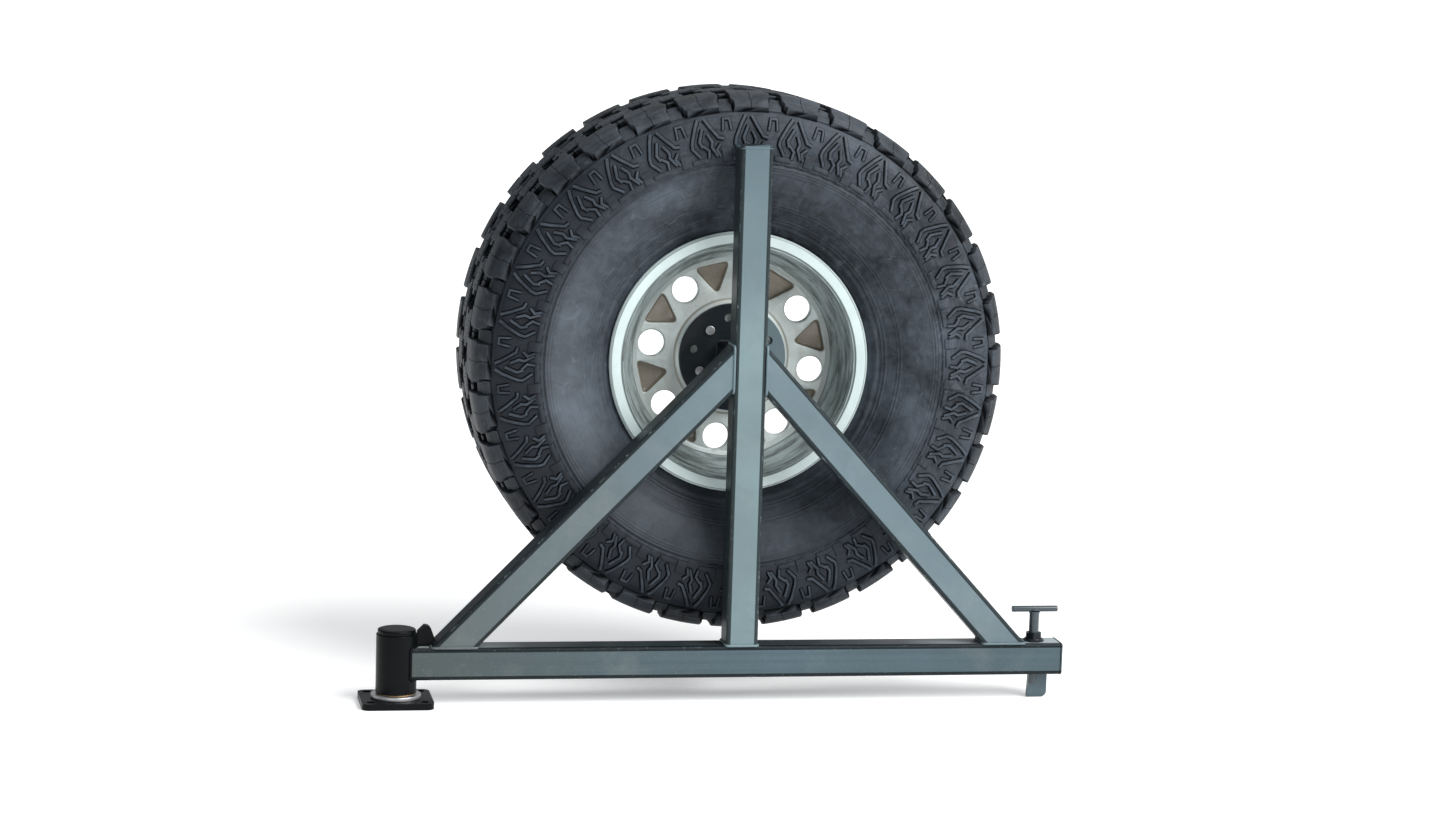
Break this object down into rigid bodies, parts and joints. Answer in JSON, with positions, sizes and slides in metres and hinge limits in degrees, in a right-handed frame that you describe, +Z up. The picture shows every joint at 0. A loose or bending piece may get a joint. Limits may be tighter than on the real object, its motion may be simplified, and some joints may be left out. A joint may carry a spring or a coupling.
{
  "type": "spare tire carrier",
  "caption": "Swing-out square-tube carrier with a braced post, a round wheel plate holding a spare wheel and mud tire, a vertical corner hinge and a T-handle latch.",
  "frame": {"origin": "on the swing axis, at the underside of the base plate, where it bolts to the bumper", "axes": "+Z up along the swing axis, +X along the arm from the hinge to the latch, +Y from the frame to the spare wheel"},
  "size_m": [1.119, 0.3904, 0.9555],
  "materials": {
    "frame_paint": "satin blue-grey paint",
    "arm_paint": "satin dark blue-grey paint",
    "plate_paint": "satin dark grey paint",
    "black_paint": "semi-gloss black paint",
    "zinc_steel": "bright zinc plating",
    "bronze": "oil-filled bronze",
    "alloy_wheel": "silver lacquered cast alloy, dusty",
    "tire_rubber": "weathered black rubber",
    "valve_rubber": "black rubber",
    "cap_plastic": "black moulded plastic"
  },
  "bodies": {
    "hinge_base": {"base_plate": "black_paint", "spindle": "zinc_steel", "thrust_washer": "bronze", "spindle_washer": "zinc_steel", "spindle_nut": "zinc_steel", "cotter_pin": "zinc_steel"},
    "carrier": {"hinge_sleeve": "black_paint", "lower_bushing": "bronze", "upper_bushing": "bronze", "dust_cap": "black_paint", "grease_fitting": "zinc_steel", "main_arm": "arm_paint", "arm_end_cap": "arm_paint", "center_post": "frame_paint", "post_top_cap": "frame_paint", "brace_left": "frame_paint", "brace_right": "frame_paint", "hinge_gusset": "black_paint", "standoff_tube": "frame_paint", "wheel_plate": "plate_paint", "lug_stud_1": "zinc_steel", "lug_stud_2": "zinc_steel", "lug_stud_3": "zinc_steel", "lug_stud_4": "zinc_steel", "lug_stud_5": "zinc_steel", "latch_guide_tube": "zinc_steel", "latch_flange_nut": "arm_paint"},
    "latch": {"t_handle_stem": "arm_paint", "t_handle_bar": "arm_paint", "latch_flag": "arm_paint"},
    "spare_wheel": {"tire": "tire_rubber", "rim_front": "alloy_wheel", "rim_back": "alloy_wheel", "wheel_disc": "alloy_wheel", "valve_stem": "valve_rubber", "valve_cap": "cap_plastic", "lug_nut_1": "zinc_steel", "lug_nut_2": "zinc_steel", "lug_nut_3": "zinc_steel", "lug_nut_4": "zinc_steel", "lug_nut_5": "zinc_steel"}
  },
  "joints": [
    {"name": "carrier_swing", "type": "hinge", "parent": "hinge_base", "child": "carrier", "pos_m": [0, 0, 0], "axis": [0, 0, 1], "range_deg": [-115, 20]},
    {"name": "latch_turn", "type": "hinge", "parent": "carrier", "child": "latch", "pos_m": [1.0205, 0, 0.091], "axis": [0, 0, 1], "range_deg": [0, 90]},
    {"name": "wheel_lift_off", "type": "slide", "parent": "carrier", "child": "spare_wheel", "axis": [0, 1, 0], "range_m": [0, 0.25]}
  ]
}
